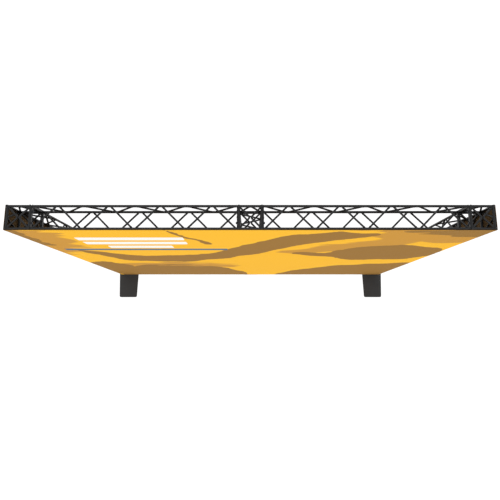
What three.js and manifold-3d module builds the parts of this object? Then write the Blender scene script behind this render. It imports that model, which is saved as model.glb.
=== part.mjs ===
// Free-standing truss display wall, with three towers 90 in apart.
// A top beam of two box-truss spans bolted between three corner blocks stands on three box-truss towers.
// A printed fabric graphic covers the front and wraps round both ends.
// Flat steel base plates keep the wall upright.
// Units are millimetres. X runs along the wall, Y points to its rear and Z is up.
// The origin is on the floor, under the middle of the centre tower.
import * as THREE from 'three';
import { mergeVertices } from 'three/addons/utils/BufferGeometryUtils.js';
import Module from 'manifold-3d';

const wasm = await Module();
wasm.setup();

// Driving dimensions
const INCH = 25.4;
const GAP = 0.3; // clearance between touching pieces
const TOWER_SPACING = 90 * INCH; // centre to centre of neighbouring towers
const BLOCK_UNDERSIDE = 144 * INCH; // height of the joint between tower and block
const SECTION = 10 * INCH; // outside of every truss section, and of the blocks
const TUBE_D = 1 * INCH;
const TUBE_BORE = 19;
const ROD_D = 0.75 * INCH; // lacing and brace rod
const PITCH = 10 * INCH; // along a chord, between the places where the lacing meets it
const VEE_FLAT = 18; // straight bit at the apex of a block's bent rods
const WELD_BITE = 1.5; // how far a welded rod sinks into its tube
const END_PLATE = 0.25 * INCH;
const END_PLATE_WINDOW = SECTION - 2 * TUBE_D; // as open as the section itself
const POST_PROUD = 0.25 * INCH; // height of the post caps above the block's top tubes
const SPIGOT_D = 17;
const SPIGOT_LENGTH = 60;
const BASE_THICK = 0.5 * INCH;
const BASE_HALF_LENGTH = 552;
const BASE_MIDDLE_WIDTH = 362;
const BASE_END_WIDTH = 322;
const BASE_CORNER_R = 28;
const BOLT_D = 12;
const BOLT_HOLE_D = 13;
const BOLT_DEPTH = 18; // how far a bolt reaches into the block's tube
const BOLT_SPREAD = 4.5 * INCH; // distance between the two bolts of one rail
const WASHER_D = 24;
const WASHER_THICK = 2.5;
const HEX_ACROSS_CORNERS = 21.9;
const HEX_THICK = 7.5;
const FABRIC_THICK = 2;
const FABRIC_BOTTOM = 2 * INCH; // clear height under the graphic
const STRIP_THICK = 2;
const STRIP_WIDTH = 1 * INCH;
const TUBE_SIDES = 12;
const PIN_SIDES = 8; // bolts, their holes and spigots
const ROD_SIDES = 6;

// Worked-out dimensions
const TUBE_R = TUBE_D / 2;
const ROD_R = ROD_D / 2;
const HALF_SECTION = SECTION / 2;
const CHORD = HALF_SECTION - TUBE_R; // chord centres lie at plus and minus this, both ways
const END_BLOCK_X = TOWER_SPACING;
const HALF_TRUSS = END_BLOCK_X + HALF_SECTION;
const BEAM_Z = BLOCK_UNDERSIDE + HALF_SECTION;
const WALL_TOP = BLOCK_UNDERSIDE + SECTION;
const SPAN_BAY = TOWER_SPACING - SECTION; // clear distance between two blocks
const SPAN_X = HALF_SECTION + SPAN_BAY / 2;
const SPAN_LENGTH = SPAN_BAY - 2 * (END_PLATE + 2 * GAP);
const SPAN_RUNS = Math.round(SPAN_BAY / PITCH);
const TOWER_LENGTH = BLOCK_UNDERSIDE - BASE_THICK - 2 * GAP;
const TOWER_Z = BASE_THICK + GAP + TOWER_LENGTH / 2;
const TOWER_RUNS = Math.floor(TOWER_LENGTH / PITCH);
const LOOSE_BEND = CHORD - TUBE_R - GAP - ROD_R; // bend centre line of a lacing that only touches its tubes
const WELDED_BEND = CHORD - TUBE_R - ROD_R + WELD_BITE;
const STRIP_FACE = HALF_SECTION + GAP;
const FABRIC_FACE = STRIP_FACE + STRIP_THICK + GAP; // inner face of the graphic, from the section's centre
const RETURN_FACE = HALF_TRUSS + GAP + STRIP_THICK + GAP; // and of its returns, from the wall's centre

const trussBlack = () => new THREE.MeshStandardMaterial({ color: 0x2b2b2c, roughness: 0.45, metalness: 0.3 });
const baseGrey = () => new THREE.MeshStandardMaterial({ color: 0x3a3a3a, roughness: 0.55, metalness: 0.3 });
const boltBlack = () => new THREE.MeshStandardMaterial({ color: 0x1f1f20, roughness: 0.4, metalness: 0.8 });
const printYellow = () => new THREE.MeshStandardMaterial({ color: 0xf9be3f, roughness: 0.85, metalness: 0 });
const stripBlack = () => new THREE.MeshStandardMaterial({ color: 0x161616, roughness: 0.95, metalness: 0 });

// A solid that manifold-3d can join and cut, from any closed three.js geometry.
function solid(geometry) {
  const bare = new THREE.BufferGeometry();
  bare.setAttribute('position', geometry.getAttribute('position'));
  if (geometry.index) bare.setIndex(geometry.index);
  const merged = mergeVertices(bare, 1e-3);
  return new wasm.Manifold(
    new wasm.Mesh({
      numProp: 3,
      vertProperties: merged.getAttribute('position').array,
      triVerts: new Uint32Array(merged.index.array),
    }),
  );
}

// The three.js geometry of a manifold-3d solid.
function geometryOf(body) {
  const { vertProperties, triVerts } = body.getMesh();
  const geometry = new THREE.BufferGeometry();
  geometry.setAttribute('position', new THREE.BufferAttribute(vertProperties, 3));
  geometry.setIndex(new THREE.BufferAttribute(triVerts, 1));
  geometry.computeVertexNormals();
  return geometry;
}

const joined = (geometries) => geometries.map(solid).reduce((whole, piece) => whole.add(piece));

function part(name, geometry, material) {
  const mesh = new THREE.Mesh(geometry, material);
  mesh.name = name;
  return mesh;
}

// A regular outline with its corners on the circle of the given diameter.
function polygon(diameter, sides) {
  const corners = [];
  for (let i = 0; i < sides; i++) {
    const turn = (2 * Math.PI * i) / sides;
    corners.push(new THREE.Vector2((Math.cos(turn) * diameter) / 2, (Math.sin(turn) * diameter) / 2));
  }
  return corners;
}

// A round bar along X, centred on the origin, with an optional bore right through it.
function barAlongX(length, diameter, sides, bore = 0) {
  const section = new THREE.Shape(polygon(diameter, sides));
  if (bore) section.holes.push(new THREE.Path(polygon(bore, sides).reverse()));
  return new THREE.ExtrudeGeometry(section, { depth: length, bevelEnabled: false })
    .translate(0, 0, -length / 2)
    .rotateY(Math.PI / 2);
}

const barAlongY = (...size) => barAlongX(...size).rotateZ(Math.PI / 2);
const barAlongZ = (...size) => barAlongX(...size).rotateY(-Math.PI / 2);

// A flat path in the XY plane whose section keeps its thickness round every bend:
// at each point the section lies on the plane that halves the bend, widened by the mitre.
class BentPath extends THREE.Curve {
  constructor(points) {
    super();
    this.points = points.map(([x, y]) => new THREE.Vector3(x, y, 0));
  }

  getSpacedPoints() {
    return this.points;
  }

  computeFrenetFrames() {
    const last = this.points.length - 1;
    const runs = [];
    for (let i = 0; i < last; i++) runs.push(this.points[i + 1].clone().sub(this.points[i]).normalize());
    const frames = { tangents: [], normals: [], binormals: [] };
    for (let i = 0; i <= last; i++) {
      const before = runs[Math.max(i - 1, 0)];
      const after = runs[Math.min(i, last - 1)];
      const tangent = before.clone().add(after).normalize();
      const mitre = 1 / tangent.dot(after);
      frames.tangents.push(tangent);
      frames.normals.push(new THREE.Vector3(-tangent.y, tangent.x, 0).multiplyScalar(mitre));
      frames.binormals.push(new THREE.Vector3(0, 0, 1));
    }
    return frames;
  }
}

// A round rod bent along a flat path in the XY plane.
function bentRod(points) {
  const section = new THREE.Shape(polygon(ROD_D, ROD_SIDES));
  return new THREE.ExtrudeGeometry(section, { steps: points.length - 1, extrudePath: new BentPath(points) });
}

// The lacing of one face of a section: a rod that crosses it at 45 degrees and then lies along the tube,
// on the spot where the real lacing meets the tube's centre line, before it crosses back.
function zigzag(runs, bend) {
  const flat = PITCH - 2 * bend;
  const points = [];
  for (let i = 0; i <= runs; i++) {
    const x = (i - runs / 2) * PITCH;
    const y = i % 2 ? bend : -bend;
    if (i > 0) points.push([x - flat / 2, y]);
    if (i < runs) points.push([x + flat / 2, y]);
  }
  return bentRod(points);
}

// One face of a section, lifted to the plane of its chords and turned about X by a number of quarter turns.
const ontoFace = (geometry, quarter) => geometry.translate(0, 0, CHORD).rotateX((quarter * Math.PI) / 2);

const chordTube = (length, y, z) =>
  barAlongX(length, TUBE_D, TUBE_SIDES, TUBE_BORE).translate(0, y * CHORD, z * CHORD);

// A centred rectangle with rounded corners, added to a shape's outline or to a hole's.
function roundedOutline(halfX, halfY, radius, outline = new THREE.Shape()) {
  outline.absarc(halfX - radius, halfY - radius, radius, 0, Math.PI / 2);
  outline.absarc(-halfX + radius, halfY - radius, radius, Math.PI / 2, Math.PI);
  outline.absarc(-halfX + radius, -halfY + radius, radius, Math.PI, 1.5 * Math.PI);
  outline.absarc(halfX - radius, -halfY + radius, radius, 1.5 * Math.PI, 2 * Math.PI);
  return outline;
}

// Where the four bolts of a beam joint pass, as [y, z] from the section's centre.
const boltPlaces = [-1, 1].flatMap((z) => [-1, 1].map((y) => [(y * BOLT_SPREAD) / 2, z * CHORD]));

// The end plate of a span: a square ring, welded to the four chords, with a hole for each bolt.
function endPlate() {
  const outline = roundedOutline(HALF_SECTION, HALF_SECTION, TUBE_R);
  const window = END_PLATE_WINDOW / 2;
  outline.holes.push(roundedOutline(window, window, TUBE_R / 2, new THREE.Path()));
  for (const [y, z] of boltPlaces) {
    const hole = polygon(BOLT_HOLE_D, PIN_SIDES).map((corner) => corner.add(new THREE.Vector2(-z, y)));
    outline.holes.push(new THREE.Path(hole));
  }
  return new THREE.ExtrudeGeometry(outline, { depth: END_PLATE, bevelEnabled: false, curveSegments: 3 })
    .translate(0, 0, -END_PLATE / 2)
    .rotateY(Math.PI / 2);
}

// A span of the top beam: four chords, a lacing on each face and an end plate at each end.
function span(side, x) {
  const group = new THREE.Group();
  group.position.set(x, 0, BEAM_Z);
  for (const [depth, y] of [['front', -1], ['rear', 1]]) {
    for (const [level, z] of [['top', 1], ['bottom', -1]]) {
      group.add(part(`span_${side}_chord_${depth}_${level}`, chordTube(SPAN_LENGTH, y, z), trussBlack()));
    }
  }
  for (const [quarter, face] of ['top', 'front', 'bottom', 'rear'].entries()) {
    const lacing = ontoFace(zigzag(SPAN_RUNS, LOOSE_BEND), quarter);
    group.add(part(`span_${side}_lacing_${face}`, lacing, trussBlack()));
  }
  for (const [end, way] of [['left', -1], ['right', 1]]) {
    const plate = part(`span_${side}_end_plate_${end}`, endPlate(), trussBlack());
    plate.position.x = way * (SPAN_LENGTH / 2 + GAP + END_PLATE / 2);
    group.add(plate);
  }
  return group;
}

// A welded ladder frame: two chords, the lacing between them and a tube across each end.
// It is made as the face that looks along Z, with its length along X.
function ladderFrame() {
  const rail = () => barAlongY(2 * CHORD, TUBE_D, TUBE_SIDES);
  const railX = TOWER_LENGTH / 2 - TUBE_R;
  const frame = joined([
    barAlongX(TOWER_LENGTH, TUBE_D, TUBE_SIDES).translate(0, -CHORD, 0),
    barAlongX(TOWER_LENGTH, TUBE_D, TUBE_SIDES).translate(0, CHORD, 0),
    zigzag(TOWER_RUNS, WELDED_BEND),
    rail().translate(railX, 0, 0),
    rail().translate(-railX, 0, 0),
  ]);
  const bores = joined([
    barAlongX(TOWER_LENGTH + 2, TUBE_BORE, TUBE_SIDES).translate(0, -CHORD, 0),
    barAlongX(TOWER_LENGTH + 2, TUBE_BORE, TUBE_SIDES).translate(0, CHORD, 0),
  ]);
  return geometryOf(frame.subtract(bores));
}

// A tower: a front and a rear ladder frame, held apart by a lacing on each side.
// It is made lying along X and stood up: its own Y stays Y, and its own Z becomes minus X.
function tower(name, x) {
  const group = new THREE.Group();
  group.position.set(x, 0, TOWER_Z);
  group.rotation.y = -Math.PI / 2;
  const sideLacing = (quarter) => ontoFace(zigzag(TOWER_RUNS, LOOSE_BEND), quarter);
  group.add(
    part(`tower_${name}_ladder_front`, ontoFace(ladderFrame(), 1), trussBlack()),
    part(`tower_${name}_ladder_rear`, ontoFace(ladderFrame(), 3), trussBlack()),
    part(`tower_${name}_lacing_left`, sideLacing(0), trussBlack()),
    part(`tower_${name}_lacing_right`, sideLacing(2), trussBlack()),
  );
  return group;
}

// The four spigots that the chords of a tower slide over, standing up from Z 0.
function spigots() {
  const pins = [];
  for (const x of [-CHORD, CHORD]) {
    for (const y of [-CHORD, CHORD]) {
      pins.push(barAlongZ(SPIGOT_LENGTH, SPIGOT_D, PIN_SIDES).translate(x, y, SPIGOT_LENGTH / 2));
    }
  }
  return pins;
}

// Rods bent in a V, in the XY plane: from both corners at -Y to an apex at the given Y.
const veeRod = (foot, apex) =>
  bentRod([
    [-foot, -foot],
    [-VEE_FLAT / 2, apex],
    [VEE_FLAT / 2, apex],
    [foot, -foot],
  ]);

// A corner block: a cube of tubes with bent-rod braces, spigots below, and bolt holes where spans meet it.
// boltedSides holds -1 for a span on the left, and 1 for one on the right.
function block(name, x, boltedSides) {
  const foot = CHORD - ROD_R;
  const inwards = CHORD - TUBE_R - ROD_R + WELD_BITE;
  const bars = spigots().map((pin) => pin.translate(0, 0, -HALF_SECTION - SPIGOT_LENGTH + WELD_BITE));
  for (const a of [-CHORD, CHORD]) {
    for (const b of [-CHORD, CHORD]) {
      bars.push(barAlongZ(SECTION + POST_PROUD, TUBE_D, TUBE_SIDES).translate(a, b, POST_PROUD / 2));
      bars.push(barAlongX(2 * CHORD, TUBE_D, TUBE_SIDES).translate(0, a, b));
      bars.push(barAlongY(2 * CHORD, TUBE_D, TUBE_SIDES).translate(a, 0, b));
    }
  }
  for (const level of [-CHORD, CHORD]) {
    for (const turn of [Math.PI / 2, -Math.PI / 2]) {
      bars.push(veeRod(foot, -ROD_R - 2).rotateZ(turn).translate(0, 0, level));
    }
  }
  const upright = () => veeRod(foot, inwards).rotateX(Math.PI / 2);
  bars.push(upright().translate(0, -CHORD, 0), upright().translate(0, CHORD, 0));
  for (const side of [-1, 1]) {
    if (!boltedSides.includes(side)) bars.push(upright().rotateZ(Math.PI / 2).translate(side * CHORD, 0, 0));
  }
  const holes = boltedSides.flatMap((side) =>
    boltPlaces.map(([y, z]) =>
      barAlongX(2 * (BOLT_DEPTH + 1), BOLT_HOLE_D, PIN_SIDES).translate(side * HALF_SECTION, y, z),
    ),
  );
  const mesh = part(`corner_block_${name}`, geometryOf(joined(bars).subtract(joined(holes))), trussBlack());
  mesh.position.set(x, 0, BEAM_Z);
  return mesh;
}

// The hexagon bolts of one beam joint. way points from the block's face towards the span.
function jointBolts(name, faceX, way) {
  return boltPlaces.map(([y, z], i) => {
    const seat = END_PLATE + 2 * GAP;
    const shank = BOLT_DEPTH + seat;
    const bolt = joined([
      barAlongX(shank + 1, BOLT_D, PIN_SIDES).translate(seat - shank / 2 + 0.5, 0, 0),
      barAlongX(WASHER_THICK, WASHER_D, TUBE_SIDES).translate(seat + WASHER_THICK / 2, 0, 0),
      barAlongX(HEX_THICK + 1, HEX_ACROSS_CORNERS, 6)
        .translate(seat + WASHER_THICK + HEX_THICK / 2 - 0.5, 0, 0),
    ]);
    const mesh = part(`bolt_${name}_${i + 1}`, geometryOf(bolt), boltBlack());
    mesh.position.set(faceX, y, BEAM_Z + z);
    mesh.rotation.z = way > 0 ? 0 : Math.PI;
    return mesh;
  });
}

// The outline of an end base plate: widest under the tower, narrower towards its front and rear ends.
function taperedOutline() {
  const taper = (BASE_MIDDLE_WIDTH - BASE_END_WIDTH) / 2 / BASE_HALF_LENGTH;
  const arcX = BASE_END_WIDTH / 2 - BASE_CORNER_R;
  const arcY = BASE_HALF_LENGTH - BASE_CORNER_R;
  const lean = Math.atan(taper);
  const outline = new THREE.Shape();
  outline.absarc(arcX, arcY, BASE_CORNER_R, lean, Math.PI / 2);
  outline.absarc(-arcX, arcY, BASE_CORNER_R, Math.PI / 2, Math.PI - lean);
  outline.lineTo(-BASE_MIDDLE_WIDTH / 2, 0);
  outline.absarc(-arcX, -arcY, BASE_CORNER_R, Math.PI + lean, 1.5 * Math.PI);
  outline.absarc(arcX, -arcY, BASE_CORNER_R, 1.5 * Math.PI, 2 * Math.PI - lean);
  outline.lineTo(BASE_MIDDLE_WIDTH / 2, 0);
  return outline;
}

// A flat steel base plate on the floor, with spigots for the tower's chords.
function basePlate(name, x, outline) {
  const plate = new THREE.ExtrudeGeometry(outline, { depth: BASE_THICK, bevelEnabled: false, curveSegments: 4 });
  const stems = spigots().map((pin) => pin.translate(0, 0, BASE_THICK - WELD_BITE));
  const mesh = part(`base_plate_${name}`, geometryOf(joined([plate, ...stems])), baseGrey());
  mesh.position.x = x;
  return mesh;
}

const box = (low, high) =>
  new THREE.BoxGeometry(...high.map((h, i) => h - low[i])).translate(...high.map((h, i) => (h + low[i]) / 2));

// The printed fabric: a front panel and a return over the outer face of each end tower.
function graphic() {
  const outer = RETURN_FACE + FABRIC_THICK;
  const group = new THREE.Group();
  const front = box([-outer, -FABRIC_FACE - FABRIC_THICK, FABRIC_BOTTOM], [outer, -FABRIC_FACE, WALL_TOP]);
  group.add(part('graphic_front', front, printYellow()));
  for (const [side, near] of [['left', -outer], ['right', RETURN_FACE]]) {
    const panel = box([near, -FABRIC_FACE + GAP, FABRIC_BOTTOM], [near + FABRIC_THICK, HALF_SECTION, WALL_TOP]);
    group.add(part(`graphic_return_${side}`, panel, printYellow()));
  }
  return group;
}

// Hook strips on the truss that the graphic presses on to: along the front top chords and down each end.
function gripStrips() {
  const group = new THREE.Group();
  const reach = HALF_TRUSS - TUBE_D;
  const top = box([-reach, -STRIP_FACE - STRIP_THICK, WALL_TOP - STRIP_WIDTH], [reach, -STRIP_FACE, WALL_TOP]);
  group.add(part('grip_strip_top', top, stripBlack()));
  const face = HALF_TRUSS + GAP;
  for (const [side, near] of [['left', -face - STRIP_THICK], ['right', face]]) {
    const strip = box(
      [near, -HALF_SECTION, FABRIC_BOTTOM],
      [near + STRIP_THICK, -HALF_SECTION + STRIP_WIDTH, WALL_TOP],
    );
    group.add(part(`grip_strip_${side}`, strip, stripBlack()));
  }
  return group;
}

const wall = new THREE.Group();
wall.add(
  block('left', -END_BLOCK_X, [1]),
  block('centre', 0, [-1, 1]),
  block('right', END_BLOCK_X, [-1]),
  span('left', -SPAN_X),
  span('right', SPAN_X),
  tower('left', -END_BLOCK_X),
  tower('centre', 0),
  tower('right', END_BLOCK_X),
  basePlate('left', -END_BLOCK_X, taperedOutline()),
  basePlate('centre', 0, roundedOutline(HALF_SECTION, HALF_SECTION, TUBE_R)),
  basePlate('right', END_BLOCK_X, taperedOutline()),
  ...jointBolts('left_outer', -END_BLOCK_X + HALF_SECTION, 1),
  ...jointBolts('left_inner', -HALF_SECTION, -1),
  ...jointBolts('right_inner', HALF_SECTION, 1),
  ...jointBolts('right_outer', END_BLOCK_X - HALF_SECTION, -1),
  graphic(),
  gripStrips(),
);

export default wall;
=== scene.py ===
"""A free-standing truss display wall, 12 ft high: box-truss towers and beam, steel bases, a stretched
print."""

import math

import bpy
import numpy as np
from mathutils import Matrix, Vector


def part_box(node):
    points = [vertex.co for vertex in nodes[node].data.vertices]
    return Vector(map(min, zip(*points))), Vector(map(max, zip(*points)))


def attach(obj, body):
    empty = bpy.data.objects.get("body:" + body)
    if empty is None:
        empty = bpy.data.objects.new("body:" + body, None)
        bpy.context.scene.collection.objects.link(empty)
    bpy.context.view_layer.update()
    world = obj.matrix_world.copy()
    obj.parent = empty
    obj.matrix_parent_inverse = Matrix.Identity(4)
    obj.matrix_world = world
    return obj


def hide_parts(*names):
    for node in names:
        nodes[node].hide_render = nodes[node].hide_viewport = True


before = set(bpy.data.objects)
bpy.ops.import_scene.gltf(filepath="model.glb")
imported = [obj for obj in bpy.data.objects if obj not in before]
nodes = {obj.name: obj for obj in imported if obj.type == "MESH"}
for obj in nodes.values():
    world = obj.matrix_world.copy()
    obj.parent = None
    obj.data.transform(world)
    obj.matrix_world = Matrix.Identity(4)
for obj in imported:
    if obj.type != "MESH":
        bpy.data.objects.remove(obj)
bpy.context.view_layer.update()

# ---------------------------------------------------------------------------------------------
# Camera: high in front of the wall, looking almost straight down its printed face.

EYE = (0.0, -1.0197, 7.9397)
TILT = math.radians(9.747)  # from straight down, towards the rear
LENS = 30.384

camera_data = bpy.data.cameras.new("camera")
camera_data.lens = LENS
camera_data.sensor_width = 36.0
camera_data.shift_x = -0.0008
camera_data.clip_end = 100.0
camera = bpy.data.objects.new("camera", camera_data)
camera.location = EYE
camera.rotation_euler = (TILT, 0.0, 0.0)
bpy.context.scene.collection.objects.link(camera)
bpy.context.scene.camera = camera

# ---------------------------------------------------------------------------------------------
# Studio: a wide white floor, lit from within as a light table is, under an even white sky, with one large
# soft lamp in front. The floor is barely brighter than white, so that thin dark rods keep their full
# width against it.

bpy.context.scene.view_settings.view_transform = "Standard"


def linear(hex_colour):
    """The linear RGBA of an sRGB hex colour: each channel through the sRGB curve."""
    channels = np.array([int(hex_colour[i : i + 2], 16) for i in (0, 2, 4)]) / 255.0
    curved = np.where(channels <= 0.04045, channels / 12.92, ((channels + 0.055) / 1.055) ** 2.4)
    return (*curved.tolist(), 1.0)


def add_node(tree, kind, settings=None, **links):
    """Adds a shader node, sets its properties, and gives its inputs values or links by name or number."""
    node = tree.nodes.new(kind)
    for name, value in (settings or {}).items():
        setattr(node, name, value)
    for name, value in links.items():
        socket = node.inputs[int(name[1:])] if name[0] == "i" and name[1:].isdigit() else node.inputs[
            name.replace("_", " ")
        ]
        if isinstance(value, bpy.types.NodeSocket):
            tree.links.new(value, socket)
        else:
            socket.default_value = value
    return node


def new_material(name):
    """An empty node material with a Principled shader wired to its output, as (material, tree, shader)."""
    material = bpy.data.materials.new(name)
    material.use_nodes = True
    tree = material.node_tree
    return material, tree, tree.nodes["Principled BSDF"]


def mesh_object(name, points, faces, material, smooth_angle=40.0):
    """A mesh object at the origin from (n, 3) points and a list of face arrays, smooth but for sharp
    edges."""
    mesh = bpy.data.meshes.new(name)
    every_face = [face for block in faces for face in block.tolist()]
    mesh.from_pydata(np.asarray(points, float).tolist(), [], every_face)
    mesh.materials.append(material)
    mesh.update()
    mesh.shade_smooth()
    mesh.set_sharp_from_angle(angle=math.radians(smooth_angle))
    piece = bpy.data.objects.new(name, mesh)
    bpy.context.scene.collection.objects.link(piece)
    return piece


def lit_floor():
    """Opal acrylic, lit from below: matt white, with no gloss to speak of."""
    material, tree, shader = new_material("opal_acrylic_floor")
    shader.inputs["Base Color"].default_value = linear("6E6E6E")
    shader.inputs["Emission Color"].default_value = (1.0, 1.0, 1.0, 1.0)
    shader.inputs["Emission Strength"].default_value = FLOOR_GLOW
    shader.inputs["Roughness"].default_value = 0.95
    shader.inputs["Specular IOR Level"].default_value = 0.0
    return material


FLOOR_HALF = 90.0
FLOOR_GLOW = 1.0
SKY = 0.75
corners = np.array([(-1, -1, 0), (1, -1, 0), (1, 1, 0), (-1, 1, 0)]) * FLOOR_HALF
floor = mesh_object("floor", corners, [np.array([[0, 1, 2, 3]])], lit_floor())

sky = bpy.data.worlds.new("even_white_sky")
sky.use_nodes = True
sky.node_tree.nodes["Background"].inputs["Color"].default_value = (1.0, 1.0, 1.0, 1.0)
sky.node_tree.nodes["Background"].inputs["Strength"].default_value = SKY
bpy.context.scene.world = sky

lamp_data = bpy.data.lights.new("softbox", "AREA")
lamp_data.shape = "DISK"
lamp_data.size = 7.0
lamp_data.energy = 90.0
lamp = bpy.data.objects.new("softbox", lamp_data)
lamp.location = (-1.5, -5.0, 9.0)
lamp.rotation_euler = (math.radians(32.0), 0.0, math.radians(-12.0))
bpy.context.scene.collection.objects.link(lamp)

# ---------------------------------------------------------------------------------------------
# Base plates: half-inch mild steel laid flat on the floor, flame cut and ground, then powder coated
# in a fine-textured charcoal. Four short studs are welded on for the tower's chords to slide over.

INCH = 0.0254
SECTION = 10 * INCH
TUBE_R = INCH / 2
CHORD = SECTION / 2 - TUBE_R
BASE_TAPER = 0.020  # how much narrower each long side is at the ends than in the middle
BASE_CORNER_R = 0.028
BASE_EDGE = 0.0018  # ground edge
STUD_R = 0.0085
STUD_HEIGHT = 0.0585  # above the plate


def textured_coat(name, colour, light, dark, grain, roughness, depth):
    """Textured polyester powder coat: satin, with a fine pebbled skin that catches light in tiny points."""
    material, tree, shader = new_material(name)
    where = add_node(tree, "ShaderNodeTexCoord").outputs["Object"]
    cloud = add_node(tree, "ShaderNodeTexNoise", Vector=where, Scale=4.0, Detail=4.0, Roughness=0.6)
    ramp = add_node(tree, "ShaderNodeValToRGB", Fac=cloud.outputs["Fac"])
    ramp.color_ramp.elements[0].position = 0.32
    ramp.color_ramp.elements[0].color = linear(dark)
    ramp.color_ramp.elements[1].position = 0.7
    ramp.color_ramp.elements[1].color = linear(light)
    middle = ramp.color_ramp.elements.new(0.5)
    middle.color = linear(colour)
    tree.links.new(ramp.outputs["Color"], shader.inputs["Base Color"])
    pebble = add_node(tree, "ShaderNodeTexNoise", Vector=where, Scale=grain, Detail=2.0, Roughness=0.55)
    bump = add_node(tree, "ShaderNodeBump", Height=pebble.outputs["Fac"], Strength=0.35, Distance=depth)
    tree.links.new(bump.outputs["Normal"], shader.inputs["Normal"])
    spread = add_node(
        tree, "ShaderNodeMapRange", Value=cloud.outputs["Fac"], From_Min=0.3, From_Max=0.7,
        To_Min=roughness - 0.06, To_Max=roughness + 0.06,
    )
    tree.links.new(spread.outputs["Result"], shader.inputs["Roughness"])
    return material


base_coat = textured_coat("charcoal_textured_powder_coat", "2C2C2D", "313132", "262627", 500.0, 0.55, 0.0006)


def grid_quads(rows, columns, wrap=False, loop=False):
    """The quads of a grid of points. wrap joins the end of each row to its start, loop the last row to
    the first."""
    i, j = np.meshgrid(np.arange(rows - (not loop)), np.arange(columns - (not wrap)), indexing="ij")
    down, right = (i + 1) % rows, (j + 1) % columns
    quads = [i * columns + j, i * columns + right, down * columns + right, down * columns + j]
    return np.stack(quads, -1).reshape(-1, 4)


def turned(radius, height, sides, axis=2, at=(0.0, 0.0, 0.0), solid=True):
    """A profile turned about an axis: at each height, radius times the cosine and sine of the angle.
    radius may differ from side to side. A solid is capped at both ends; otherwise the profile closes on
    itself."""
    radius = np.asarray(radius, float)
    radius = radius[:, None] if radius.ndim == 1 else radius
    angle = np.arange(sides) * 2 * np.pi / sides
    rise = np.repeat(np.asarray(height, float)[:, None], sides, 1)
    points = np.stack([radius * np.cos(angle), radius * np.sin(angle), rise], -1).reshape(-1, 3)
    blocks = [grid_quads(len(radius), sides, wrap=True, loop=not solid)]
    if solid:
        ring = np.arange(sides)[None]
        blocks += [ring[:, ::-1], ring + (len(radius) - 1) * sides]
    return np.roll(points, axis + 1, axis=1) + at, blocks


def joined(shells):
    """Several shells, each (points, face blocks), as one: face numbers move past the points that come
    before."""
    starts = np.cumsum([0] + [len(points) for points, _ in shells])
    blocks = [block + start for (_, faces), start in zip(shells, starts) for block in faces]
    return np.concatenate([points for points, _ in shells]), blocks


def repeated(shell, places):
    """A copy of one shell at each of the places: every place is added to every point of the shell."""
    points, blocks = shell
    places = np.asarray(places, float)
    starts = (np.arange(len(places)) * len(points))[:, None, None]
    moved = (places[:, None] + points[None]).reshape(-1, 3)
    return moved, [(block[None] + starts).reshape(-1, block.shape[1]) for block in blocks]


def fitted(name, shells, material, replaced=(), smooth_angle=40.0):
    """A finished piece from its shells: it rides on the frame's body, and stands for CAD
    nodes."""
    piece = mesh_object(name, *joined(shells), material, smooth_angle)
    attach(piece, "root")
    if replaced:
        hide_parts(*replaced)
    return piece


def plate_shell(outline, low, high, edge):
    """A flat plate: its outline, a loop of (x, y) points about its middle, is stacked at four heights,
    and the lowest and highest loops are drawn in towards the middle by the ground edge."""
    outline = np.asarray(outline, float)
    shrink = 1 - edge / np.abs(outline).max(0)
    loops = [outline * shrink, outline, outline, outline * shrink]
    heights = [low, low + edge, high - edge, high]
    levels = [np.column_stack([loop, np.full(len(loop), z)]) for loop, z in zip(loops, heights)]
    points = np.concatenate(levels)
    ring = np.arange(len(outline))[None]
    return points, [grid_quads(4, len(outline), wrap=True), ring[:, ::-1], ring + 3 * len(outline)]


def rounded_outline(half_x, half_y, corner, waist=0.0):
    """A rectangle's outline with round corners: each corner is a quarter circle about its own centre.
    waist is how much further the long sides stand out in the middle than at the ends."""
    angle = np.linspace(0, np.pi / 2, 9)
    arc = corner * np.column_stack([np.cos(angle), np.sin(angle)])
    centre = np.array([half_x - corner, half_y - corner])
    first = arc + centre
    second = first[::-1] * (-1, 1)
    middle = np.array([[-half_x - waist, 0.0]])
    half = np.concatenate([first, second] + ([middle] if waist else []))
    return np.concatenate([half, -half])


for side in ("left", "centre", "right"):
    low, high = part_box(f"base_plate_{side}")
    middle = (low + high) / 2
    half = (high - low) / 2
    thick = high.z - STUD_HEIGHT
    if side == "centre":
        outline = rounded_outline(half.x, half.y, TUBE_R)
    else:
        outline = rounded_outline(half.x - BASE_TAPER, half.y, BASE_CORNER_R, BASE_TAPER)
    slab, slab_faces = plate_shell(outline, low.z, thick, BASE_EDGE)
    stud = turned([STUD_R, STUD_R, STUD_R - 0.002], [thick - 0.001, high.z - 0.003, high.z], 20)
    places = [(middle.x + a * CHORD, middle.y + b * CHORD, 0.0) for a in (-1, 1) for b in (-1, 1)]
    fitted(
        f"steel_base_{side}", [(slab + (middle.x, middle.y, 0.0), slab_faces), repeated(stud, places)],
        base_coat, [f"base_plate_{side}"], 30.0,
    )

# ---------------------------------------------------------------------------------------------
# Towers: two ladder frames of one-inch steel tube, joined by a lacing on each side. The lacings are straight
# three-quarter-inch rods at 45 degrees, coped and welded to the tubes, all powder coated satin black.

PITCH = 10 * INCH
ROD_R = 3 * INCH / 8
ROD_END = 0.35 * ROD_R  # how far a rod reaches past its chord's centre line
LACING_LEAN = math.radians(45.0)
TUBE_BORE_R = 0.0095
CUT_EDGE = 0.0006  # broken edge of a sawn tube
TUBE_SIDES = 28
ROD_SIDES = 14
BEAD_R = 0.0026
BEAD_LIFT = 0.0008  # from the skin to the middle of a bead
SADDLE_BEAD_R = 0.0024
X, Y, Z = np.eye(3)


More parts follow.
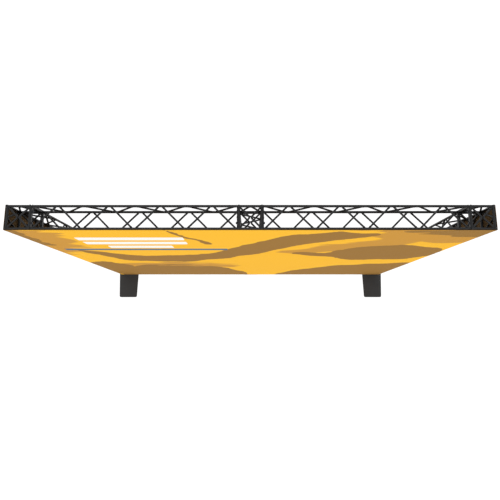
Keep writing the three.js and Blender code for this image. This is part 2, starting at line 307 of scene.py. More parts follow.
def powder_coat(name, colour, worn, roughness):
    """Satin polyester powder coat on steel: a faint orange peel a few millimetres across, and slightly duller
    and greyer patches where hands and straps rub it."""
    material, tree, shader = new_material(name)
    where = add_node(tree, "ShaderNodeTexCoord").outputs["Object"]
    rubbed = add_node(tree, "ShaderNodeTexNoise", Vector=where, Scale=9.0, Detail=5.0, Roughness=0.65)
    ramp = add_node(tree, "ShaderNodeValToRGB", Fac=rubbed.outputs["Fac"])
    ramp.color_ramp.elements[0].position = 0.5
    ramp.color_ramp.elements[0].color = linear(colour)
    ramp.color_ramp.elements[1].position = 0.72
    ramp.color_ramp.elements[1].color = linear(worn)
    tree.links.new(ramp.outputs["Color"], shader.inputs["Base Color"])
    dull = add_node(
        tree, "ShaderNodeMapRange", Value=rubbed.outputs["Fac"], From_Min=0.4, From_Max=0.7,
        To_Min=roughness, To_Max=roughness + 0.16,
    )
    tree.links.new(dull.outputs["Result"], shader.inputs["Roughness"])
    peel = add_node(tree, "ShaderNodeTexNoise", Vector=where, Scale=260.0, Detail=1.0)
    bump = add_node(tree, "ShaderNodeBump", Height=peel.outputs["Fac"], Strength=0.22, Distance=0.0005)
    tree.links.new(bump.outputs["Normal"], shader.inputs["Normal"])
    shader.inputs["Specular IOR Level"].default_value = 0.45
    return material


black_coat = powder_coat("satin_black_powder_coat", "161617", "232324", 0.36)
weld_coat = powder_coat("satin_black_powder_coat_on_weld", "131314", "1D1D1E", 0.46)


def swept(path, normals, radius, sides, loop=False):
    """A round section carried along a path. At each point its circle is spanned by the normal given there,
    squared to the path's direction, and by the direction crossed with that normal."""
    path = np.asarray(path, float)
    along = np.roll(path, -1, 0) - np.roll(path, 1, 0) if loop else np.gradient(path, axis=0)
    along = along / np.linalg.norm(along, axis=1, keepdims=True)
    normals = np.broadcast_to(np.asarray(normals, float), path.shape)
    normals = normals - (normals * along).sum(1, keepdims=True) * along
    normals = normals / np.linalg.norm(normals, axis=1, keepdims=True)
    sideways = np.cross(along, normals)
    angle = (np.arange(sides) * 2 * np.pi / sides)[None, :, None]
    rings = path[:, None] + radius * (np.cos(angle) * normals[:, None] + np.sin(angle) * sideways[:, None])
    blocks = [grid_quads(len(path), sides, wrap=True, loop=loop)]
    if not loop:
        ring = np.arange(sides)[None]
        blocks += [ring[:, ::-1], ring + (len(path) - 1) * sides]
    return rings.reshape(-1, 3), blocks


def tube(start, end, axis, bore=TUBE_BORE_R):
    """A steel tube between two points on one axis: a square-cut profile turned about it, bored right
    through."""
    start, end = np.asarray(start, float), np.asarray(end, float)
    radius = [TUBE_R - CUT_EDGE, TUBE_R, TUBE_R, TUBE_R - CUT_EDGE, bore, bore]
    length = end[axis] - start[axis]
    height = [0, CUT_EDGE, length - CUT_EDGE, length, length, 0]
    return turned(radius, height, TUBE_SIDES, axis, start, solid=False)


def lacing(runs, middle, along, across, out):
    """The straight rods of one face of a section, in the plane of its two chords, as (rods, welds). Each
    crosses at 45 degrees between the section's two outer faces, where its line meets the next rod's, one
    pitch on. It stops inside the chord's skin. Round the rod, at angle t, the weld lies where the rod's skin
    meets the chord's: at (sqrt(R^2 - (r sin t)^2) - r cos t cos a) / sin a along the rod from the chord's
    centre line, with a the angle between rod and chord."""
    turn = (np.arange(20) * 2 * np.pi / 20)[:, None]
    reach = np.sqrt(TUBE_R**2 - (ROD_R * np.sin(turn)) ** 2)
    meet = (reach - ROD_R * np.cos(turn) * math.cos(LACING_LEAN)) / math.sin(LACING_LEAN)
    rods, welds = [], []
    for number in range(runs):
        way = 1 if number % 2 == 0 else -1
        low = middle + (number - runs / 2) * PITCH * along - way * (SECTION / 2) * across + CHORD * out
        high = low + PITCH * along + way * SECTION * across
        heading = (high - low) / np.linalg.norm(high - low)
        start = low + heading * TUBE_R / math.sin(LACING_LEAN)
        end = high - heading * TUBE_R / math.sin(LACING_LEAN)
        inset = heading * ROD_END
        line = [start - inset, (start + end) / 2, end + inset]
        rods.append(swept(line, out, ROD_R, ROD_SIDES))
        for knot, inwards in ((start, heading), (end, -heading)):
            acute = along * (along @ inwards) - inwards * (along @ inwards) ** 2
            acute = acute / np.linalg.norm(acute)
            skin = ROD_R * (np.cos(turn) * acute + np.sin(turn) * out)
            loop = knot + (meet + BEAD_LIFT) * inwards + skin
            welds.append(swept(loop, skin, BEAD_R, 6, loop=True))
    return rods, welds


def saddle_bead(post, up, way):
    """The weld round a tube's end where it meets a post of its own size. Around the tube, at angle t, the
    post's face is sqrt(R^2 - (R cos t)^2) from the post's centre line, with cos t across and sin t along
    the post."""
    across = np.cross(up, way)
    turn = (np.arange(24) * 2 * np.pi / 24)[:, None]
    reach = TUBE_R * np.abs(np.sin(turn)) + BEAD_LIFT
    round_tube = np.cos(turn) * across + np.sin(turn) * up
    return swept(post + reach * way + TUBE_R * round_tube, round_tube, SADDLE_BEAD_R, 6, loop=True)


def hex_head(axis, at, way, thick, across_corners=0.0219):
    """A hexagon head or nut. Its radius at each angle is the hexagon's, cut back to a cone that meets the top
    face just inside the flats, which gives the curved chamfer at each corner."""
    sides = 36
    angle = np.arange(sides) * 2 * np.pi / sides
    flat = across_corners / 2 * math.cos(math.pi / 6)
    hexagon = flat / np.cos((angle + math.pi / 6) % (math.pi / 3) - math.pi / 6)
    height = np.array([0.0, thick - 0.0016, thick - 0.0011, thick - 0.0006, thick])
    cone = flat * 0.97 + (thick - height) * math.sqrt(3)
    radius = np.minimum(hexagon[None], cone[:, None])
    if way < 0:
        return turned(radius[::-1], -height[::-1], sides, axis, at)
    return turned(radius, height, sides, axis, at)


def washer(axis, at, way, thick=0.0025):
    """A flat washer: a disc with its edges just broken."""
    height = np.array([0.0, 0.0003, thick - 0.0003, thick])
    radius = [0.0117, 0.012, 0.012, 0.0117]
    return turned(radius, height if way > 0 else height - thick, 24, axis, at)


def bolt_metal():
    """Black zinc plated steel, class 8.8: a dark, slightly blue metal, dull from passivation and from
    handling."""
    material, tree, shader = new_material("black_zinc_plated_steel")
    where = add_node(tree, "ShaderNodeTexCoord").outputs["Object"]
    cloud = add_node(tree, "ShaderNodeTexNoise", Vector=where, Scale=140.0, Detail=4.0)
    ramp = add_node(tree, "ShaderNodeValToRGB", Fac=cloud.outputs["Fac"])
    ramp.color_ramp.elements[0].color = linear("2A2B2E")
    ramp.color_ramp.elements[1].color = linear("45464B")
    tree.links.new(ramp.outputs["Color"], shader.inputs["Base Color"])
    shader.inputs["Metallic"].default_value = 0.9
    shader.inputs["Roughness"].default_value = 0.42
    bump = add_node(tree, "ShaderNodeBump", Height=cloud.outputs["Fac"], Strength=0.2, Distance=0.0003)
    tree.links.new(bump.outputs["Normal"], shader.inputs["Normal"])
    return material


black_zinc = bolt_metal()
BOLT_R = 0.006
HEAD = 0.0075
NUT = 0.010
WASHER = 0.0025
BUSH_R = 0.0095
BUSH_PROUD = 0.0006  # of the tube's skin
BOLT_SPREAD = 0.05715  # from the section's middle to a bolt
TOWER_RUNS = 14

for side in ("left", "centre", "right"):
    low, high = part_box(f"tower_{side}_ladder_front")
    high_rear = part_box(f"tower_{side}_ladder_rear")[1]
    middle = np.array([(low.x + high.x) / 2, (low.y + high_rear.y) / 2, (low.z + high.z) / 2])
    frame_faces = {"front": (-X, -Y), "rear": (X, Y)}
    side_faces = {"left": (Y, -X), "right": (-Y, X)}
    beads = []
    for face, (across, out) in frame_faces.items():
        shells, welds = lacing(TOWER_RUNS, middle, Z, across, out)
        beads += welds
        for way in (-1, 1):
            chord = middle + way * CHORD * X + CHORD * out
            shells.append(tube([*chord[:2], low.z], [*chord[:2], high.z], 2))
            for level in (low.z + TUBE_R, high.z - TUBE_R):
                beads.append(saddle_bead(np.array([*chord[:2], level]), Z, -way * X))
        for level in (low.z + TUBE_R, high.z - TUBE_R):
            rail = np.array([middle[0], *(middle + CHORD * out)[1:2], level])
            shells.append(tube(rail - CHORD * X, rail + CHORD * X, 0))
            bush = turned([BUSH_R, BUSH_R], [-TUBE_R - BUSH_PROUD, TUBE_R + BUSH_PROUD], 20)
            shells.append(repeated(bush, [rail - BOLT_SPREAD * X, rail + BOLT_SPREAD * X]))
        fitted(f"tower_{side}_{face}_frame", shells, black_coat, [f"tower_{side}_ladder_{face}"])
    for face, (across, out) in side_faces.items():
        rods, welds = lacing(TOWER_RUNS, middle, Z, across, out)
        beads += welds
        fitted(f"tower_{side}_{face}_lacing", rods, black_coat, [f"tower_{side}_lacing_{face}"])
    fitted(f"tower_{side}_welds", beads, weld_coat)

# ---------------------------------------------------------------------------------------------
# Corner blocks: cubes of the same tube, stiffened by bent rods, and welded in one jig so that their bolt
# holes meet those of the beam. Black plastic caps close the tops of the four posts.

VEE_R = 0.0185  # of the rod's centre line, round its bend
VEE_FOOT = CHORD - ROD_R
VEE_REACH = CHORD - TUBE_R - ROD_R + 0.0015
SLOT_HALF = 0.002  # half the gap between the two bent rods of a level face
APEX_BEAD_R = 0.0036
APEX_BEAD_LENGTH = 0.026


def vee_path(apex):
    """The centre line of a bent rod, as (along, across) points: from one foot at (-f, -f), round a circle
    whose top is at the apex, to the other foot at (f, -f). The straight runs are tangents from the feet
    to the circle, which leave it at the angle atan(rise / f) + asin(radius / distance from the foot to
    the centre)."""
    centre = apex - VEE_R
    rise = centre + VEE_FOOT
    lean = math.atan2(rise, VEE_FOOT) + math.asin(VEE_R / math.hypot(rise, VEE_FOOT))
    turn = np.linspace(-lean, lean, 13)
    bend = np.column_stack([VEE_R * np.sin(turn), centre + VEE_R * np.cos(turn)])
    return np.concatenate([[[-VEE_FOOT, -VEE_FOOT]], bend, [[VEE_FOOT, -VEE_FOOT]]])


def vee_rod(middle, along, across, out, apex):
    """A bent rod in the plane that lies one chord out from the block's middle."""
    path = vee_path(apex)
    return swept(middle + path[:, :1] * along + path[:, 1:] * across + CHORD * out, out, ROD_R, ROD_SIDES)


def apex_bead(axis):
    """A short weld bead, a low ellipsoid along an axis: radius and height are the sine and cosine of one
    angle."""
    swing = np.linspace(-0.42, 0.42, 5) * np.pi
    return turned(APEX_BEAD_R * np.cos(swing), APEX_BEAD_LENGTH / 2 * np.sin(swing), 7, axis)


def cap_plastic():
    """Moulded black polyethylene: a soft, waxy sheen and a fine spark-eroded grain."""
    material, tree, shader = new_material("black_polyethylene")
    where = add_node(tree, "ShaderNodeTexCoord").outputs["Object"]
    grain = add_node(tree, "ShaderNodeTexNoise", Vector=where, Scale=700.0, Detail=2.0)
    ramp = add_node(tree, "ShaderNodeValToRGB", Fac=grain.outputs["Fac"])
    ramp.color_ramp.elements[0].color = linear("111112")
    ramp.color_ramp.elements[1].color = linear("1A1A1B")
    tree.links.new(ramp.outputs["Color"], shader.inputs["Base Color"])
    shader.inputs["Roughness"].default_value = 0.5
    bump = add_node(tree, "ShaderNodeBump", Height=grain.outputs["Fac"], Strength=0.3, Distance=0.0002)
    tree.links.new(bump.outputs["Normal"], shader.inputs["Normal"])
    return material


black_polyethylene = cap_plastic()
CAP_DOME = 0.004
BEAM_Z = (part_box("span_left_end_plate_left")[0].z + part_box("span_left_end_plate_left")[1].z) / 2

for side, outer in (("left", -X), ("centre", None), ("right", X)):
    low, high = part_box(f"corner_block_{side}")
    middle = np.array([(low.x + high.x) / 2, (low.y + high.y) / 2, BEAM_Z])
    bottom = BEAM_Z - SECTION / 2
    posts = [middle + a * CHORD * X + b * CHORD * Y for a in (-1, 1) for b in (-1, 1)]
    tubes, rods, beads = [], [], []
    for post in posts:
        tubes.append(tube([*post[:2], bottom], [*post[:2], high.z - CAP_DOME], 2))
        inwards = np.sign(middle - post)
        for level in (-CHORD, CHORD):
            knot = post + level * Z
            beads += [saddle_bead(knot, Z, inwards[0] * X), saddle_bead(knot, Z, inwards[1] * Y)]
    for level in (-CHORD, CHORD):
        for way in (-1, 1):
            rail = middle + level * Z + way * CHORD * Y
            tubes.append(tube(rail - CHORD * X, rail + CHORD * X, 0))
            rail = middle + level * Z + way * CHORD * X
            tubes.append(tube(rail - CHORD * Y, rail + CHORD * Y, 1))
            rods.append(vee_rod(middle, Y, -way * X, math.copysign(1, level) * Z, -ROD_R - SLOT_HALF))
    upright_faces = [(X, -Y), (X, Y)] + ([(Y, outer)] if outer is not None else [])
    for along, out in upright_faces:
        rods.append(vee_rod(middle, along, Z, out, VEE_REACH))
        foot_axis = int(np.abs(along).argmax())
        top_of_bend = middle + (CHORD - TUBE_R) * Z
        lifts = [top_of_bend + (CHORD + lift) * out for lift in (-0.0058, 0.0058)]
        beads.append(repeated(apex_bead(foot_axis), lifts))
    stud = turned([STUD_R - 0.002, STUD_R, STUD_R], [low.z, low.z + 0.003, bottom + 0.002], 20)
    tubes.append(repeated(stud, [post * (1, 1, 0) for post in posts]))
    fitted(f"block_{side}_tubes", tubes, black_coat, [f"corner_block_{side}"])
    fitted(f"block_{side}_braces", rods, black_coat)
    fitted(f"block_{side}_welds", beads, weld_coat)
    rim = high.z - CAP_DOME
    cap = turned(
        [TUBE_R - 0.0002, TUBE_R, TUBE_R, TUBE_R - 0.0012, TUBE_R - 0.0035, TUBE_R - 0.008],
        [rim - 0.0002, rim, rim + 0.0015, rim + 0.0028, rim + 0.0036, high.z], 24,
    )
    caps = repeated(cap, [post * (1, 1, 0) for post in posts])
    fitted(f"block_{side}_post_caps", [caps], black_polyethylene)

# ---------------------------------------------------------------------------------------------
# Beam spans: four chords of the same tube with a rod lacing on each face, welded to a quarter-inch steel end
# plate at either end. The plates bolt to the blocks, and their square windows let a hand in to the bolts.

SPAN_RUNS = 8
RING_BEAD_LIFT = 0.0005  # from the chord's skin to the middle of the bead
span_faces = {"top": (Y, Z), "rear": (-Z, Y), "bottom": (-Y, -Z), "front": (Z, -Y)}


def ring_bead(axis, at):
    """The weld round a chord where it meets an end plate: a circle of bead turned about the chord."""
    swing = np.arange(8) * 2 * np.pi / 8
    radius = TUBE_R + RING_BEAD_LIFT + BEAD_R * np.cos(swing)
    return turned(radius, BEAD_R * np.sin(swing), 24, axis, at, solid=False)


for side in ("left", "right"):
    near, far = (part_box(f"span_{side}_end_plate_{end}") for end in ("left", "right"))
    middle = np.array([(near[0].x + far[1].x) / 2, (near[0].y + near[1].y) / 2, BEAM_Z])
    beads = []
    for depth, y in (("front", -1), ("rear", 1)):
        for level, z in (("top", 1), ("bottom", -1)):
            line = middle + y * CHORD * Y + z * CHORD * Z
            start, end = [near[1].x, *line[1:]], [far[0].x, *line[1:]]
            node = f"span_{side}_chord_{depth}_{level}"
            fitted(f"beam_{side}_{depth}_{level}_chord", [tube(start, end, 0)], black_coat, [node])
            beads += [ring_bead(0, start), ring_bead(0, end)]
    for face, (across, out) in span_faces.items():
        rods, welds = lacing(SPAN_RUNS, middle, X, across, out)
        beads += welds
        fitted(f"beam_{side}_{face}_lacing", rods, black_coat, [f"span_{side}_lacing_{face}"])
    fitted(f"beam_{side}_welds", beads, weld_coat)
    for end in ("left", "right"):
        plate = nodes[f"span_{side}_end_plate_{end}"]
        plate.data.materials.clear()
        plate.data.materials.append(black_coat)

# ---------------------------------------------------------------------------------------------
# Bolts: M12 hexagon bolts, black zinc plated. Four hold each end plate to its block, and four more pin each
# tower to its base plate below, and to its block above with a nut on top.

for joint in ("left_outer", "left_inner", "right_inner", "right_outer"):
    shells = []
    for number in range(1, 5):
        low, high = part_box(f"bolt_{joint}_{number}")
        way = 1 if joint in ("left_outer", "right_inner") else -1
        seat = (high.x if way > 0 else low.x) - way * (HEAD + WASHER)
        at = np.array([seat, (low.y + high.y) / 2, (low.z + high.z) / 2])
        shank_end = low.x if way > 0 else high.x
        shank = turned([BOLT_R, BOLT_R], sorted([shank_end, seat + way * 0.001]), 20, 0, at * (0, 1, 1))
        shells += [shank, washer(0, at, way), hex_head(0, at + way * WASHER * X, way, HEAD)]
    fitted(
        f"beam_bolts_{joint}", shells, black_zinc,
        [f"bolt_{joint}_{number}" for number in range(1, 5)], 30.0,
    )

for side in ("left", "centre", "right"):
    low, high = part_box(f"tower_{side}_ladder_front")
    centre_x = (low.x + high.x) / 2
    foot, head = [], []
    for a in (-1, 1):
        for b in (-1, 1):
            line = np.array([centre_x + a * BOLT_SPREAD, b * CHORD, 0.0])
            top = low.z + 2 * TUBE_R + BUSH_PROUD
            foot += [washer(2, line + top * Z, 1), hex_head(2, line + (top + WASHER) * Z, 1, HEAD)]
            under = high.z - 2 * TUBE_R - BUSH_PROUD
            over = BEAM_Z - CHORD + TUBE_R + BUSH_PROUD
            tip = over + NUT + 0.004
            head += [
                washer(2, line + under * Z, -1),
                hex_head(2, line + (under - WASHER) * Z, -1, HEAD),
                turned([BOLT_R, BOLT_R, BOLT_R - 0.001], [under, tip - 0.001, tip], 20, 2, line),
                turned([BUSH_R, BUSH_R], [over - 0.03, over], 20, 2, line),
                washer(2, line + over * Z, 1),
                hex_head(2, line + (over + WASHER) * Z, 1, NUT),
            ]
    fitted(f"tower_{side}_foot_bolts", foot, black_zinc, (), 30.0)
    fitted(f"tower_{side}_head_bolts", head, black_zinc, (), 30.0)

# ---------------------------------------------------------------------------------------------
# Grip strips: one-inch woven nylon tape with moulded hooks, glued along the front top chords and down the
# outer faces of the end towers. The loops on the back of the print press on to it.

STRIP_CELL = 0.012  # length of one step of the tape's mesh


def hook_tape():
    """Woven nylon hook tape: matt black with a soft sheen, and rows of stiff hooks 1.6 mm apart."""
    material, tree, shader = new_material("black_nylon_hook_tape")
    where = add_node(tree, "ShaderNodeTexCoord").outputs["Object"]
    hooks = add_node(tree, "ShaderNodeTexVoronoi", Vector=where, Scale=625.0)
    # The tape's colour follows the hooks' relief, lighter on the hook tops and darker in the ground between
    # them: painted shade in the hollows.
    ramp = add_node(tree, "ShaderNodeValToRGB", Fac=hooks.outputs["Distance"])
    ramp.color_ramp.elements[0].color = linear("2A2A2B")
    ramp.color_ramp.elements[1].color = linear("121213")
    tree.links.new(ramp.outputs["Color"], shader.inputs["Base Color"])
    shader.inputs["Roughness"].default_value = 0.9
    shader.inputs["Sheen Weight"].default_value = 0.3
    height = hooks.outputs["Distance"]
    bump = add_node(tree, "ShaderNodeBump", {"invert": True}, Height=height, Distance=0.0008)
    tree.links.new(bump.outputs["Normal"], shader.inputs["Normal"])
    return material


nylon_hooks = hook_tape()
tape_faces = {"top": (X, Z, -Y), "left": (Z, -Y, -X), "right": (Z, Y, X)}

for name, (length_way, width_way, out) in tape_faces.items():
    low, high = (np.array(corner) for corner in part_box(f"grip_strip_{name}"))
    middle, half = (low + high) / 2, (high - low) / 2
    long_half, wide_half, thick_half = (abs(half @ way) for way in (length_way, width_way, out))
    steps = int(2 * long_half / STRIP_CELL)
    # across the tape: a flat back, round woven edges, and a slightly crowned field of hooks
    turn = np.linspace(-np.pi, np.pi, 16, endpoint=False)
    wide = wide_half * np.sign(np.cos(turn)) * np.abs(np.cos(turn)) ** 0.35
    thick = thick_half * np.sign(np.sin(turn)) * np.abs(np.sin(turn)) ** 0.5
    along = np.linspace(-long_half, long_half, steps + 1)
    grid = along[:, None, None] * length_way + (wide[:, None] * width_way + thick[:, None] * out)[None]
    ring = np.arange(len(turn))[None]
    faces = [grid_quads(steps + 1, len(turn), wrap=True), ring[:, ::-1], ring + steps * len(turn)]
    shell = (middle + grid.reshape(-1, 3), faces)
    fitted(f"hook_tape_{name}", [shell], nylon_hooks, [f"grip_strip_{name}"])

# ---------------------------------------------------------------------------------------------
# Print: one sheet of knitted polyester, dye-sublimated, cut square and hemmed all round. It is stretched over
# the front and wrapped round both end towers, where its loops grip the hook tape.

CLOTH = 0.0009
HEM = 0.025
HEM_EXTRA = 0.0005  # how much the folded hem stands out
STITCH = 0.010
THREAD_R = 0.0007
FOLD_R = 0.008  # where the sheet turns round the end towers
CELL = 0.021  # size of the sheet's mesh
YELLOW = "FFC02E"
GOLD = "D0973A"
BROWN = "9E7434"

front_low, front_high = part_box("graphic_front")
return_low, return_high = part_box("graphic_return_right")
side_x = (return_low.x + return_high.x) / 2
front_y = (front_low.y + front_high.y) / 2
rear_y = return_high.y
bottom_z, top_z = front_low.z, front_high.z


def wrap_path(along):
    """The plan of the wrap at each distance along it from the middle of the front, as (x, y) points and the
    outward direction there: straight across the front, a quarter circle, and straight back along the side."""
    side = np.sign(along)
    far = np.abs(along)
    flat = side_x - FOLD_R
    turn = np.clip((far - flat) / FOLD_R, 0, np.pi / 2)
    back = np.maximum(far - flat - FOLD_R * np.pi / 2, 0)
    x = np.minimum(far, flat) + FOLD_R * np.sin(turn)
    y = front_y + FOLD_R * (1 - np.cos(turn)) + back
    return np.stack([side * x, y], -1), np.stack([side * np.sin(turn), -np.cos(turn)], -1)


half_flat = side_x - FOLD_R + FOLD_R * np.pi / 2 + (rear_y - front_y - FOLD_R)
height = top_z - bottom_z


def spaced(length, edge_lines):
    """Grid lines over a length, about one cell apart, with extra lines where the hem and the folds need
    them."""
    even = np.linspace(0, length, int(length / CELL) + 1)
    lines = np.concatenate([even, edge_lines, length - np.array(edge_lines)])
    return np.unique(np.round(lines, 5))


fold_start = half_flat - (side_x - FOLD_R)
fold_lines = np.linspace(fold_start - FOLD_R * np.pi / 2, fold_start, 7)
across_lines = spaced(2 * half_flat, [0.001, HEM - 0.001, HEM, *fold_lines]) - half_flat
upward_lines = spaced(height, [0.001, HEM - 0.001, HEM])
across, upward = np.meshgrid(across_lines, upward_lines, indexing="xy")


def tension_ripple(across, upward):
    """Slight ripples of a sheet pulled tight by hand: long shallow creases that fan out from the top
    corners and fade towards the middle, as a sum of three sines of the distance from a corner and of its
    direction."""
    far = half_flat - np.abs(across)
    down = height - upward
    bearing = np.arctan2(down, far + 0.3)
    reach = np.hypot(down, far)
    fan = np.sin(bearing * 26) * np.exp(-reach / 0.9)
    rows = np.sin(across * 5.1 + 0.7 * np.sin(upward * 2.3)) * 0.5 + np.sin(across * 11.7 + upward) * 0.25
    return 0.0011 * fan + 0.0006 * rows


hem_near = np.minimum(np.minimum(half_flat - np.abs(across), upward), height - upward)
in_hem = ((hem_near > 0.0005) & (hem_near < HEM - 0.0005)).astype(float)
plan, outward = wrap_path(across)
lift = np.abs(tension_ripple(across, upward)) + HEM_EXTRA * in_hem
plan = plan + lift[..., None] * outward
cloth_points = np.concatenate([plan, (bottom_z + upward)[..., None]], -1).reshape(-1, 3)
cloth_faces = grid_quads(len(upward_lines), len(across_lines))


def patch(x, z, centre, half_size, tilt=0.0):
    """How far inside an ellipse a point is: one minus its distance from the centre, measured in half sizes
    along the ellipse's own tilted axes, times the smaller half size in metres."""
    x, z = x - centre[0], z - centre[1]
    u = (x * math.cos(tilt) + z * math.sin(tilt)) / half_size[0]
    v = (z * math.cos(tilt) - x * math.sin(tilt)) / half_size[1]
    return (1 - np.hypot(u, v)) * min(half_size)


def trail(x, z, stations):
    """How far inside a ribbon a point is. Stations are (x, z, half width) along its middle line: for each
    straight leg, the point is projected on to it, and its distance is taken from the half width found
    there."""
    depths = []
    for (x0, z0, w0), (x1, z1, w1) in zip(stations[:-1], stations[1:]):
        leg = np.array([x1 - x0, z1 - z0])
        share = np.clip(((x - x0) * leg[0] + (z - z0) * leg[1]) / (leg @ leg), 0, 1)
        away = np.hypot(x - x0 - share * leg[0], z - z0 - share * leg[1])
        depths.append(w0 + share * (w1 - w0) - away)
    return np.maximum.reduce(depths)


# The printed pattern is plain drifting shapes, brown and gold on yellow, in metres from the sheet's lower
# middle.
drift = 0.045 * np.sin(across * 3.1 + upward * 2.2) + 0.022 * np.sin(across * 7.9 - upward * 5.3 + 1.0)
x = across + drift
z = upward + 0.6 * drift + 0.014 * np.sin(across * 13.0)
fine_streaks = 0.035 * np.sin(z * 47.0 + 2.6 * np.sin(x * 2.3)) * (1 + 0.8 * np.sin(z * 6.1 + x * 1.7))
streaks = fine_streaks + 0.055 * np.sin(z * 17.0 + 1.9 * np.sin(x * 3.1 + 0.8)) + 0.03 * np.sin(x * 9.0)
swoosh = [
    (-2.12, 2.66, 0.05), (-1.86, 2.28, 0.19), (-1.57, 2.02, 0.29), (-0.98, 2.00, 0.29), (-0.44, 2.23, 0.22),
    (-0.11, 2.59, 0.25), (0.26, 3.03, 0.27), (0.56, 3.39, 0.27), (0.92, 3.56, 0.20), (1.21, 3.61, 0.09),
]
brown = np.maximum.reduce([
    trail(x, z, swoosh),
    trail(x, z, [(-0.90, 3.90, 0.02), (-0.52, 3.12, 0.045)]),
    trail(x, z, [(-2.62, 3.95, 0.34), (-2.45, 3.45, 0.20), (-2.36, 3.05, 0.06)]) + 0.5 * streaks,
    trail(x, z, [(0.62, 2.50, 0.10), (1.20, 2.30, 0.14), (1.60, 2.40, 0.30)]),
    patch(x, z, (1.76, 2.46), (0.72, 0.57), 0.10),
    patch(x, z, (2.44, -0.41), (2.02, 1.97)),
    patch(x, z, (-1.21, 0.05), (1.17, 1.36)),
    patch(x, z, (-2.20, 0.85), (0.34, 0.85)),
    patch(x, z, (2.30, 3.80), (0.60, 0.24), -0.2) + streaks,
])
cleft = np.maximum(
    trail(x, z, [(-1.72, 1.56, 0.045), (-0.40, 1.58, 0.075)]),
    trail(x, z, [(-1.60, 1.28, 0.02), (-0.30, 1.24, 0.05)]),
)
brown = np.minimum(brown, -cleft)
gold = np.maximum.reduce([
    trail(x, z, [(0.56, 2.56, 0.17), (1.16, 2.93, 0.24), (1.69, 3.33, 0.24)]) + 0.4 * streaks,
    trail(x, z, [(-1.80, 1.36, 0.16), (-0.98, 1.40, 0.26), (-0.30, 1.30, 0.16)]) + streaks,
    patch(x, z, (2.10, 3.74), (0.95, 0.52)) + streaks,
    patch(x, z, (-2.45, 3.30), (0.50, 0.90)) + streaks,
])


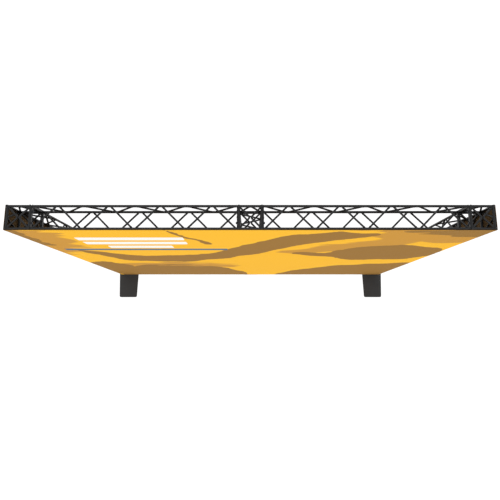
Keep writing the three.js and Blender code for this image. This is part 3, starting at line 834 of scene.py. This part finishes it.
def knitted_print():
    """Warp-knitted polyester with the pattern dyed into it: matt, with a soft sheen, and a fine grid of
    stitches. The knit is 0.7 mm in life, and is drawn at 3 mm so that it shows. Two rows of thread hold
    the hem: their stitches are 4 mm in life, and are drawn at 10 mm."""
    material, tree, shader = new_material("printed_knitted_polyester")
    cloth = add_node(tree, "ShaderNodeUVMap", {"uv_map": "cloth"}).outputs["UV"]
    brown_in = add_node(tree, "ShaderNodeAttribute", {"attribute_name": "brown"}).outputs["Fac"]
    gold_in = add_node(tree, "ShaderNodeAttribute", {"attribute_name": "gold"}).outputs["Fac"]
    edge = add_node(tree, "ShaderNodeTexNoise", Vector=cloth, Scale=2.6, Detail=6.0, Roughness=0.55)
    rough_edge = add_node(
        tree, "ShaderNodeMapRange", Value=edge.outputs["Fac"], From_Min=0.3, From_Max=0.7,
        To_Min=-0.04, To_Max=0.04,
    ).outputs["Result"]
    colour = linear(YELLOW)
    for field, tint, soft in ((gold_in, GOLD, 0.03), (brown_in, BROWN, 0.004)):
        ragged = add_node(tree, "ShaderNodeMath", i0=field, i1=rough_edge).outputs["Value"]
        inside = add_node(
            tree, "ShaderNodeMapRange", Value=ragged, From_Min=-soft, From_Max=soft, To_Min=0.0, To_Max=1.0
        ).outputs["Result"]
        mix = add_node(tree, "ShaderNodeMix", {"data_type": "RGBA"}, Factor=inside)
        if isinstance(colour, bpy.types.NodeSocket):
            tree.links.new(colour, mix.inputs[6])
        else:
            mix.inputs[6].default_value = colour
        mix.inputs[7].default_value = linear(tint)
        colour = mix.outputs[2]
    for field, tint in (("white_bars", "FDFBF5"), ("blue_rule", "55718A")):
        inside = add_node(tree, "ShaderNodeAttribute", {"attribute_name": field}).outputs["Fac"]
        sharp = add_node(
            tree, "ShaderNodeMapRange", Value=inside, From_Min=-0.002, From_Max=0.002, To_Min=0.0, To_Max=1.0
        ).outputs["Result"]
        mix = add_node(tree, "ShaderNodeMix", {"data_type": "RGBA"}, Factor=sharp)
        tree.links.new(colour, mix.inputs[6])
        mix.inputs[7].default_value = linear(tint)
        colour = mix.outputs[2]
    depth_in = add_node(tree, "ShaderNodeAttribute", {"attribute_name": "hem_depth"}).outputs["Fac"]
    place = add_node(tree, "ShaderNodeSeparateXYZ", Vector=cloth)
    along = add_node(tree, "ShaderNodeMath", i0=place.outputs["X"], i1=place.outputs["Y"]).outputs[0]
    phase = add_node(tree, "ShaderNodeMath", {"operation": "FLOORED_MODULO"}, i0=along, i1=STITCH).outputs[0]
    taken = add_node(tree, "ShaderNodeMath", {"operation": "LESS_THAN"}, i0=phase, i1=0.7 * STITCH).outputs[0]
    rows = []
    for row in (HEM - 0.003, HEM - 0.008):
        near = add_node(tree, "ShaderNodeMath", {"operation": "COMPARE"}, i0=depth_in, i1=row, i2=THREAD_R)
        rows.append(near.outputs[0])
    either = add_node(tree, "ShaderNodeMath", {"operation": "MAXIMUM"}, i0=rows[0], i1=rows[1]).outputs[0]
    thread = add_node(tree, "ShaderNodeMath", {"operation": "MULTIPLY"}, i0=either, i1=taken).outputs[0]
    mix = add_node(tree, "ShaderNodeMix", {"data_type": "RGBA"}, Factor=thread)
    tree.links.new(colour, mix.inputs[6])
    mix.inputs[7].default_value = linear("7A5A26")
    colour = mix.outputs[2]
    ink = add_node(tree, "ShaderNodeTexNoise", Vector=cloth, Scale=55.0, Detail=3.0)
    fade = add_node(
        tree, "ShaderNodeMapRange", Value=ink.outputs["Fac"], From_Min=0.25, From_Max=0.75,
        To_Min=0.955, To_Max=1.03,
    ).outputs["Result"]
    shaded = add_node(tree, "ShaderNodeHueSaturation", Color=colour, Value=fade)
    tree.links.new(shaded.outputs["Color"], shader.inputs["Base Color"])
    knit = add_node(tree, "ShaderNodeTexBrick", Vector=cloth, Scale=330.0)
    bump = add_node(tree, "ShaderNodeBump", Height=knit.outputs["Fac"], Strength=0.25, Distance=0.0004)
    tree.links.new(bump.outputs["Normal"], shader.inputs["Normal"])
    shader.inputs["Roughness"].default_value = 0.85
    shader.inputs["Specular IOR Level"].default_value = 0.05
    shader.inputs["Sheen Weight"].default_value = 0.02
    shader.inputs["Sheen Roughness"].default_value = 0.5
    return material


def knitted_back_in_painted_shade():
    """The back of the same cloth: the dye strikes through as an even dull brown, over a brushed loop pile.
    Its browns are set darker than the dye alone as painted shade, for the dim inside of the wrap behind the
    truss.
    """
    material, tree, shader = new_material("knitted_polyester_back_painted_shade")
    cloth = add_node(tree, "ShaderNodeUVMap", {"uv_map": "cloth"}).outputs["UV"]
    pile = add_node(tree, "ShaderNodeTexNoise", Vector=cloth, Scale=180.0, Detail=3.0)
    ramp = add_node(tree, "ShaderNodeValToRGB", Fac=pile.outputs["Fac"])
    # Painted shade: these dark browns stand for the dim light inside the wrap as well as for the dye's tint.
    ramp.color_ramp.elements[0].color = linear("5E4A30")
    ramp.color_ramp.elements[1].color = linear("7C6140")
    tree.links.new(ramp.outputs["Color"], shader.inputs["Base Color"])
    bump = add_node(tree, "ShaderNodeBump", Height=pile.outputs["Fac"], Strength=0.4, Distance=0.0008)
    tree.links.new(bump.outputs["Normal"], shader.inputs["Normal"])
    shader.inputs["Roughness"].default_value = 0.95
    shader.inputs["Specular IOR Level"].default_value = 0.1
    return material


cloth = mesh_object("printed_sheet", cloth_points, [cloth_faces], knitted_print(), 80.0)
cloth.data.materials.append(knitted_back_in_painted_shade())


def point_values(mesh, name, values):
    """Stores one number per vertex under a name that a material can read."""
    attribute = mesh.attributes.new(name, "FLOAT", "POINT")
    attribute.data.foreach_set("value", np.asarray(values, np.float32).ravel())


# Three plain bars with a thin rule below them stand where such a print carries its heading.
bar_field = np.maximum.reduce([
    np.minimum(half - np.abs(across + 1.30), 0.075 - np.abs(upward - level))
    for level, half in ((3.42, 0.58), (3.18, 0.58), (2.94, 0.38))
])
rule_field = np.minimum(1.0 - np.abs(across + 1.28), 0.05 - np.abs(upward - 2.76))
point_values(cloth.data, "hem_depth", hem_near)
point_values(cloth.data, "brown", brown)
point_values(cloth.data, "gold", gold)
point_values(cloth.data, "white_bars", bar_field)
point_values(cloth.data, "blue_rule", rule_field)
uv = np.column_stack([across.ravel(), upward.ravel()])[cloth_faces.ravel()]
cloth.data.uv_layers.new(name="cloth").data.foreach_set("uv", uv.astype(np.float32).ravel())

shell = cloth.modifiers.new("thickness", "SOLIDIFY")
shell.thickness = CLOTH
shell.offset = -1.0
shell.material_offset = 1
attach(cloth, "root")
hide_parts("graphic_front", "graphic_return_left", "graphic_return_right")
